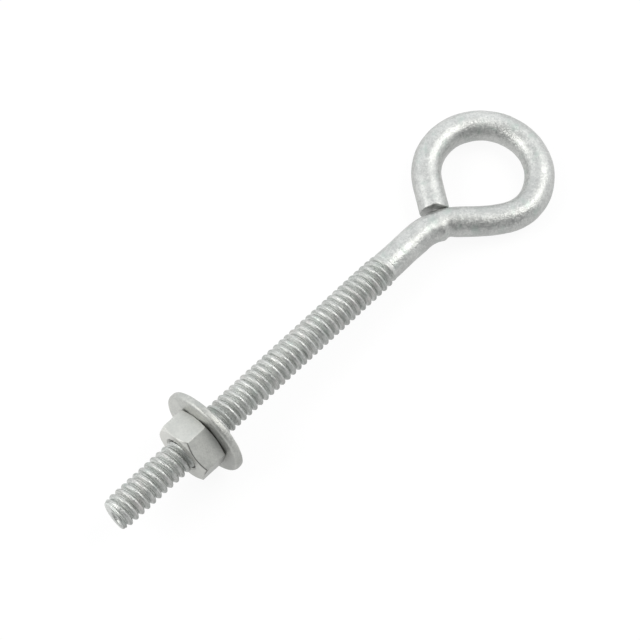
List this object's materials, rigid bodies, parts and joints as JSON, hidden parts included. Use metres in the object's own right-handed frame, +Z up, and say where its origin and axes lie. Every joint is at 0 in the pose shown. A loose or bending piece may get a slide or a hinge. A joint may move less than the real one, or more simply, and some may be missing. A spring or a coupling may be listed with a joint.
{
  "type": "eye bolt",
  "caption": "Galvanised rod bent into an open eye at one end and threaded at the other, with a flat washer and a hexagon nut.",
  "frame": {"origin": "on the surface that the bolt lies on, under the middle of its bounding box", "axes": "+X along the bolt from the tip of the thread to the eye, +Y across the eye, +Z up; the shank slopes down towards +X by 4 degrees, because the washer's rim holds that end up"},
  "size_m": [0.0828, 0.0204, 0.0132],
  "materials": {
    "galvanised_rod": "hot-dip zinc, matte pale grey with a fine grain and bright broken highlights",
    "galvanised_washer": "hot-dip zinc, satin pale grey, smooth faces and a worn round rim",
    "galvanised_nut": "hot-dip zinc, satin pale grey"
  },
  "bodies": {
    "bolt": {"eye_bolt": "galvanised_rod"},
    "washer": {"flat_washer": "galvanised_washer"},
    "nut": {"hex_nut": "galvanised_nut"}
  },
  "joints": [
    {"name": "washer_slide", "type": "slide", "parent": "bolt", "child": "washer", "axis": [0.9976, 0, -0.0699], "range_m": [-0.01217, 0.03387]},
    {"name": "nut_spin", "type": "hinge", "parent": "washer", "child": "nut", "pos_m": [-0.02688, -0.00039, 0.00678], "axis": [0.9976, 0, -0.0699], "range_deg": [-4140, 11520]}
  ],
  "couplings": [
    {"joint": "nut_spin", "follows": "washer_slide", "rad_per_m": 5936.9}
  ]
}
